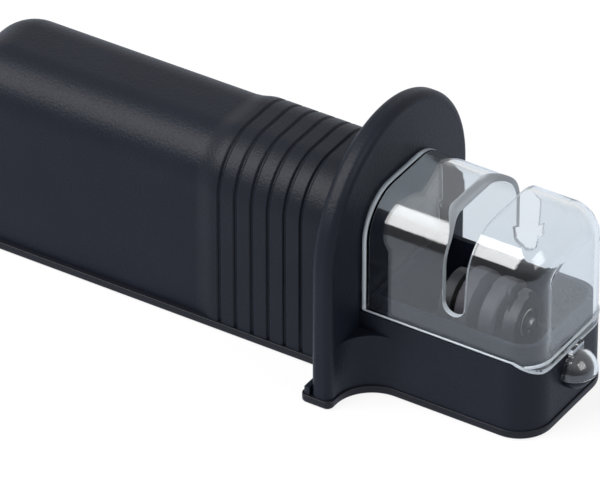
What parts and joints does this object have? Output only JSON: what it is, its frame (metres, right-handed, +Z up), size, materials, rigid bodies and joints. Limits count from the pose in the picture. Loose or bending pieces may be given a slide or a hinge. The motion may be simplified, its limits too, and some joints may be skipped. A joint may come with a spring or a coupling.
{
  "type": "pull-through knife sharpener",
  "caption": "Hand-held pull-through knife sharpener: hollow handle with ribbed grip, round hand guard, and ceramic wheels in a tray under a clear slotted cover",
  "frame": {"origin": "middle of the underside, on the plane of the rubber pads", "axes": "+X from the handle to the free end of the head, +Z up, +Y to the left"},
  "size_m": [0.1564, 0.0572, 0.0619],
  "materials": {
    "handle_abs": "fine-textured black ABS",
    "grip_rubber": "soft moulded black elastomer",
    "head_abs": "fine-textured black ABS",
    "sole_abs": "satin black ABS",
    "screw_steel": "zinc-plated steel",
    "clear_cover": "clear polished polycarbonate",
    "carrier_nylon": "glass-filled black nylon",
    "axle_steel": "ground stainless steel",
    "hub_acetal": "black acetal",
    "bush_acetal": "natural acetal",
    "wheel_ceramic": "fine-grit sintered ceramic",
    "pad_rubber": "moulded black rubber"
  },
  "bodies": {
    "base": {"handle_shell": "handle_abs", "grip_sleeve": "grip_rubber", "head_body": "head_abs", "sole_plate": "sole_abs", "sole_screws": "screw_steel", "carrier_screws": "screw_steel", "wheel_carrier": "carrier_nylon", "bush_left": "bush_acetal", "bush_right": "bush_acetal", "pad_rear_left": "pad_rubber", "pad_rear_right": "pad_rubber", "pad_front_left": "pad_rubber", "pad_front_right": "pad_rubber"},
    "cover": {"clear_cover": "clear_cover"},
    "wheel_set": {"wheel_axle": "axle_steel", "wheel_hub": "hub_acetal", "wheel_left": "wheel_ceramic", "wheel_right": "wheel_ceramic", "washer_left": "axle_steel", "washer_right": "axle_steel", "clip_left": "axle_steel", "clip_right": "axle_steel"}
  },
  "joints": [
    {"name": "cover_lift", "type": "slide", "parent": "base", "child": "cover", "axis": [0, 0, 1], "range_m": [0, 0.055]},
    {"name": "wheel_spin", "type": "hinge", "parent": "base", "child": "wheel_set", "pos_m": [0.0523, 0, 0.019], "axis": [1, 0, 0], "continuous": true}
  ]
}
